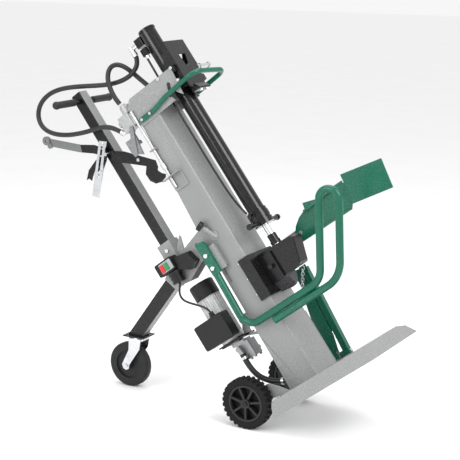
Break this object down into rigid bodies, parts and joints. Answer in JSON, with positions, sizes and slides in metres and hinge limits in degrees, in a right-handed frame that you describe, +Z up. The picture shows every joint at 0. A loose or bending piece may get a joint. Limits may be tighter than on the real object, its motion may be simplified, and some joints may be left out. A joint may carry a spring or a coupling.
{
  "type": "vertical log splitter",
  "caption": "Upright hydraulic log splitter leaned back for moving, on wheels and a caster, with a wedge on a tall column, guard hoops, towing handle, motor, pump and hoses.",
  "frame": {"origin": "centre of the whole object's box, on the ground", "axes": "+X from the caster towards the splitting base, +Y to the machine's left, away from the operator's controls, +Z up"},
  "size_m": [1.6459, 0.465, 1.5476],
  "materials": {
    "grey_paint": "semi-gloss light grey powder coat",
    "green_paint": "gloss green powder coat",
    "black_paint": "satin black powder coat",
    "black_gloss": "gloss black paint",
    "blade_paint": "satin dark grey",
    "cast_grey": "fine sand cast, grey",
    "link_grey": "satin grey",
    "zinc": "zinc plated",
    "steel": "turned",
    "chrome": "hard chrome",
    "motor_grey": "painted silver",
    "pump_alu": "cast aluminium",
    "black_plastic": "fine texture",
    "rim_plastic": "moulded",
    "switch_plastic": "dark grey moulded",
    "green_plastic": "moulded",
    "red_plastic": "moulded",
    "hose_rubber": "matt hose cover",
    "grip_rubber": "matt",
    "caster_rubber": "solid rubber",
    "tyre": "solid tyre"
  },
  "bodies": {
    "machine": {"base_plate": "grey_paint", "column": "grey_paint", "head_plate": "grey_paint", "cylinder_bracket": "black_paint", "cylinder_tube": "black_gloss", "cylinder_cap": "black_gloss", "cylinder_gland": "black_gloss", "hose_fittings": "zinc", "upper_hoop": "green_paint", "guard_hoop": "green_paint", "far_bracket": "grey_paint", "lifter_hinge": "zinc", "filler_neck": "zinc", "handle_tube": "black_paint", "handle_grips": "grip_rubber", "strut_bracket": "grey_paint", "strut_tube": "black_paint", "main_axle": "zinc", "axle_brackets": "grey_paint", "motor_body": "motor_grey", "fan_cover": "black_plastic", "terminal_box": "black_plastic", "gear_pump": "pump_alu", "motor_bracket": "grey_paint", "switch_housing": "switch_plastic", "power_inlet": "black_plastic", "valve_body": "cast_grey", "frame_bolts": "zinc", "hose_long": "hose_rubber", "hose_short": "hose_rubber", "suction_hose": "hose_rubber", "steel_pipe": "black_gloss", "switch_cable": "hose_rubber", "hose_clamps": "zinc"},
    "wedge": {"ram_rod": "chrome", "piston": "steel", "rod_nut": "zinc", "wedge_head": "black_paint", "wedge_blade": "blade_paint", "guide_shoes": "black_paint", "guide_bolts": "zinc"},
    "arm": {"far_arm": "green_paint"},
    "lifter": {"lifter_frame": "green_paint", "lifter_chain": "zinc"},
    "rocker": {"rocker_arm": "black_paint", "lever_bar": "black_paint", "claws": "black_paint", "slotted_bar": "zinc", "pivot_bolts": "zinc"},
    "spool": {"valve_link": "link_grey"},
    "stroke": {"stroke_rod": "zinc"},
    "fork": {"caster_fork": "zinc"},
    "caster": {"caster_wheel": "caster_rubber"},
    "near_wheel": {"near_tyre": "tyre", "near_rim": "rim_plastic"},
    "far_wheel": {"far_tyre": "tyre", "far_rim": "rim_plastic"},
    "green_push": {"green_button": "green_plastic"},
    "red_push": {"red_button": "red_plastic"},
    "cap": {"filler_cap": "black_plastic"}
  },
  "joints": [
    {"name": "wedge_slide", "type": "slide", "parent": "machine", "child": "wedge", "axis": [-0.599, 0, 0.8007], "range_m": [-0.3, 0.04]},
    {"name": "arm_swing", "type": "hinge", "parent": "machine", "child": "arm", "pos_m": [0.36021, 0.0965, 0.74031], "axis": [0, 1, 0], "range_deg": [-8, 12]},
    {"name": "lifter_fold", "type": "hinge", "parent": "machine", "child": "lifter", "pos_m": [0.51159, 0.2185, 0.22913], "axis": [0.8007, 0, 0.599], "range_deg": [-100, 0]},
    {"name": "control_rock", "type": "hinge", "parent": "machine", "child": "rocker", "pos_m": [-0.46526, -0.0495, 1.01072], "axis": [0, 1, 0], "range_deg": [-6, 6]},
    {"name": "spool_slide", "type": "slide", "parent": "machine", "child": "spool", "axis": [-0.599, 0, 0.8007], "range_m": [-0.012, 0.012]},
    {"name": "stroke_slide", "type": "slide", "parent": "machine", "child": "stroke", "axis": [-0.599, 0, 0.8007], "range_m": [-0.012, 0.012]},
    {"name": "caster_swivel", "type": "hinge", "parent": "machine", "child": "fork", "pos_m": [-0.35176, -0.0095, 0.2], "axis": [0, 0, 1], "continuous": true},
    {"name": "caster_roll", "type": "hinge", "parent": "fork", "child": "caster", "pos_m": [-0.39376, -0.0095, 0.097], "axis": [0, 1, 0], "continuous": true},
    {"name": "near_wheel_roll", "type": "hinge", "parent": "machine", "child": "near_wheel", "pos_m": [0.28824, -0.1995, 0.104], "axis": [0, 1, 0], "continuous": true},
    {"name": "far_wheel_roll", "type": "hinge", "parent": "machine", "child": "far_wheel", "pos_m": [0.28824, 0.1805, 0.104], "axis": [0, 1, 0], "continuous": true},
    {"name": "green_press", "type": "slide", "parent": "machine", "child": "green_push", "axis": [0, 1, 0], "range_m": [0, 0.0035], "stiffness_N_per_m": 400, "springref_m": -0.001},
    {"name": "red_press", "type": "slide", "parent": "machine", "child": "red_push", "axis": [0, 1, 0], "range_m": [0, 0.0035], "stiffness_N_per_m": 400, "springref_m": -0.001},
    {"name": "cap_turn", "type": "hinge", "parent": "machine", "child": "cap", "pos_m": [0.03224, -0.12, 0.75971], "axis": [-0.7748, -0.3551, 0.523], "continuous": true}
  ],
  "couplings": [
    {"joint": "spool_slide", "follows": "control_rock", "m_per_rad": 0.06},
    {"joint": "stroke_slide", "follows": "control_rock", "m_per_rad": -0.06}
  ]
}
